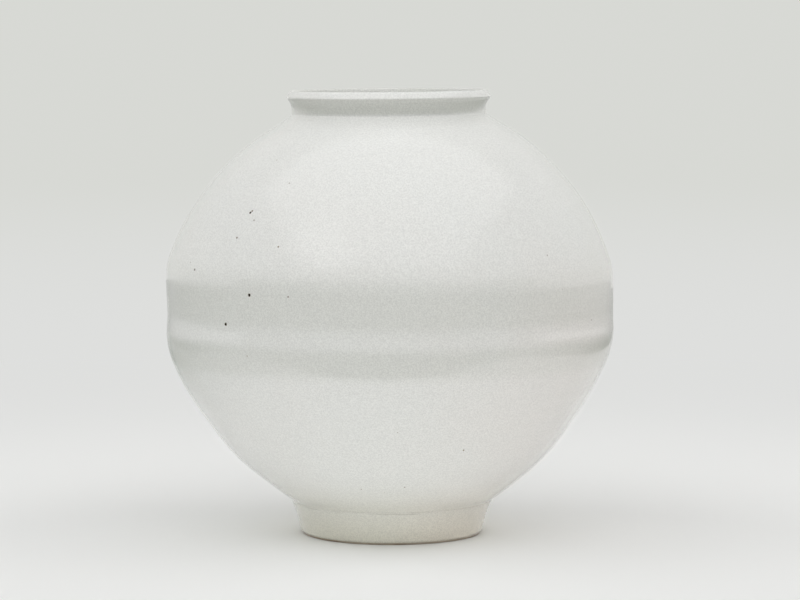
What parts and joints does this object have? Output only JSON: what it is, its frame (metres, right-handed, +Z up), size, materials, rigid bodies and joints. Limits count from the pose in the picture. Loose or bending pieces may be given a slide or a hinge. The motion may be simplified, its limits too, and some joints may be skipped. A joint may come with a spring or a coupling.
{
  "type": "moon jar",
  "caption": "Large round white porcelain storage jar, thrown as bowls joined rim to rim at the waist, with a short collared mouth and a narrow ring foot.",
  "frame": {"origin": "centre of the foot ring's standing edge, on the surface the jar stands on", "axes": "+Z up along the axis the jar was thrown on; the jar is round about it, so +X and +Y are free"},
  "size_m": [0.4494, 0.4494, 0.445],
  "materials": {
    "porcelain": "bare fired clay, dry and faintly gritty",
    "slip": "fired slip, dense and matt",
    "glaze": "clear milky glaze with a soft gloss over white clay"
  },
  "bodies": {
    "root": {"foot_ring": "porcelain", "lower_bowl": "porcelain", "upper_bowl": "porcelain", "mouth_collar": "porcelain", "seam_coil": "porcelain", "foot_slip": "slip", "waist_slip": "slip", "collar_slip": "slip", "outer_glaze": "glaze", "inner_glaze": "glaze", "base_glaze": "glaze"}
  },
  "joints": []
}
